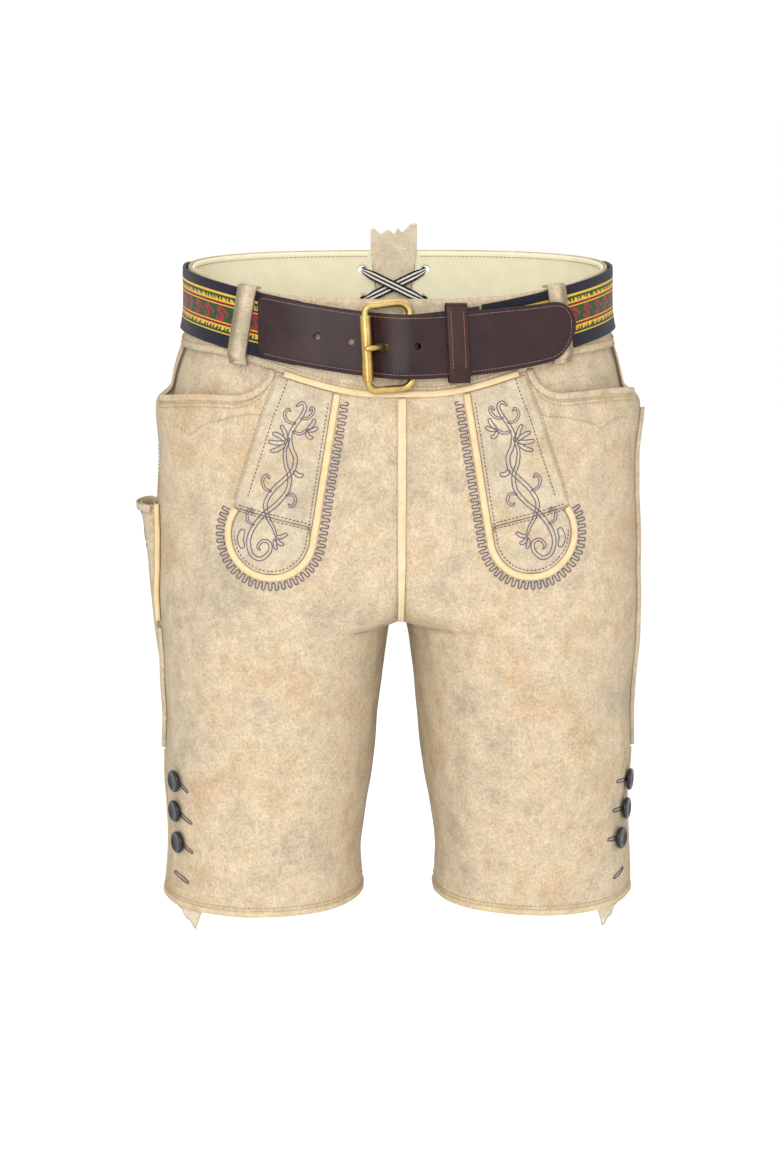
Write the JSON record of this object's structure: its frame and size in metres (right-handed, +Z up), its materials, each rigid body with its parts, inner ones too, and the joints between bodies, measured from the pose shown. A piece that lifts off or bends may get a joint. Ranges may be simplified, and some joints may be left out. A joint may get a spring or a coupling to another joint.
{
  "type": "lederhosen",
  "caption": "Knee-length suede folk-dress breeches, worn hollow, with embroidered front trims, sheath pocket, laced back notch, leg vents with buttons, and a fastened woven belt.",
  "frame": {"origin": "middle of the waist opening, at the height of the waistband's top edge at the sides", "axes": "+Z up, -Y to the front, +X to the wearer's left"},
  "size_m": [0.4003, 0.2648, 0.5447],
  "materials": {
    "suede": "napped goat suede, mottled beige, matt",
    "trim_suede": "napped suede with chain-stitch embroidery",
    "gusset_suede": "napped suede, greyish beige",
    "piping": "smooth cream leather strip",
    "facing": "smooth cream leather",
    "lace": "flat woven lace, black with white lines",
    "woven_band": "jacquard-woven band in green, yellow, dark red and navy",
    "belt_leather": "smooth dark brown leather, satin",
    "keeper_leather": "smooth reddish brown leather, satin",
    "brass": "aged brass, brushed",
    "button_horn": "dark imitation horn, satin"
  },
  "bodies": {
    "root": {"back_gusset": "gusset_suede", "back_panel_left": "suede", "back_panel_right": "suede", "belt_chape": "belt_leather", "belt_keeper": "keeper_leather", "belt_loop_back_left": "suede", "belt_loop_back_right": "suede", "belt_loop_front_left": "suede", "belt_loop_front_right": "suede", "belt_strap": "belt_leather", "belt_woven_band": "woven_band", "buckle_frame": "brass", "buckle_prong": "brass", "buckle_roller": "brass", "button_left_1": "button_horn", "button_left_2": "button_horn", "button_left_3": "button_horn", "button_right_1": "button_horn", "button_right_2": "button_horn", "button_right_3": "button_horn", "centre_strip": "piping", "front_panel_left": "suede", "front_panel_right": "suede", "front_trim_left": "trim_suede", "front_trim_right": "trim_suede", "front_trim_tip_left": "trim_suede", "front_trim_tip_right": "trim_suede", "hem_binding_left": "suede", "hem_binding_right": "suede", "hip_piece_left": "suede", "hip_piece_right": "suede", "knife_pocket": "suede", "knife_pocket_cuff": "suede", "knife_pocket_piping": "piping", "lace_bar_lower": "lace", "lace_bar_upper": "lace", "lace_cross_over": "lace", "lace_cross_under": "lace", "pocket_binding_left": "suede", "pocket_binding_right": "suede", "side_welt_left": "suede", "side_welt_right": "suede", "trim_piping_left": "piping", "trim_piping_right": "piping", "underlap_left": "suede", "underlap_right": "suede", "waist_facing_left": "facing", "waist_facing_right": "facing", "waistband_left": "suede", "waistband_piping": "piping", "waistband_right": "suede"}
  },
  "joints": []
}
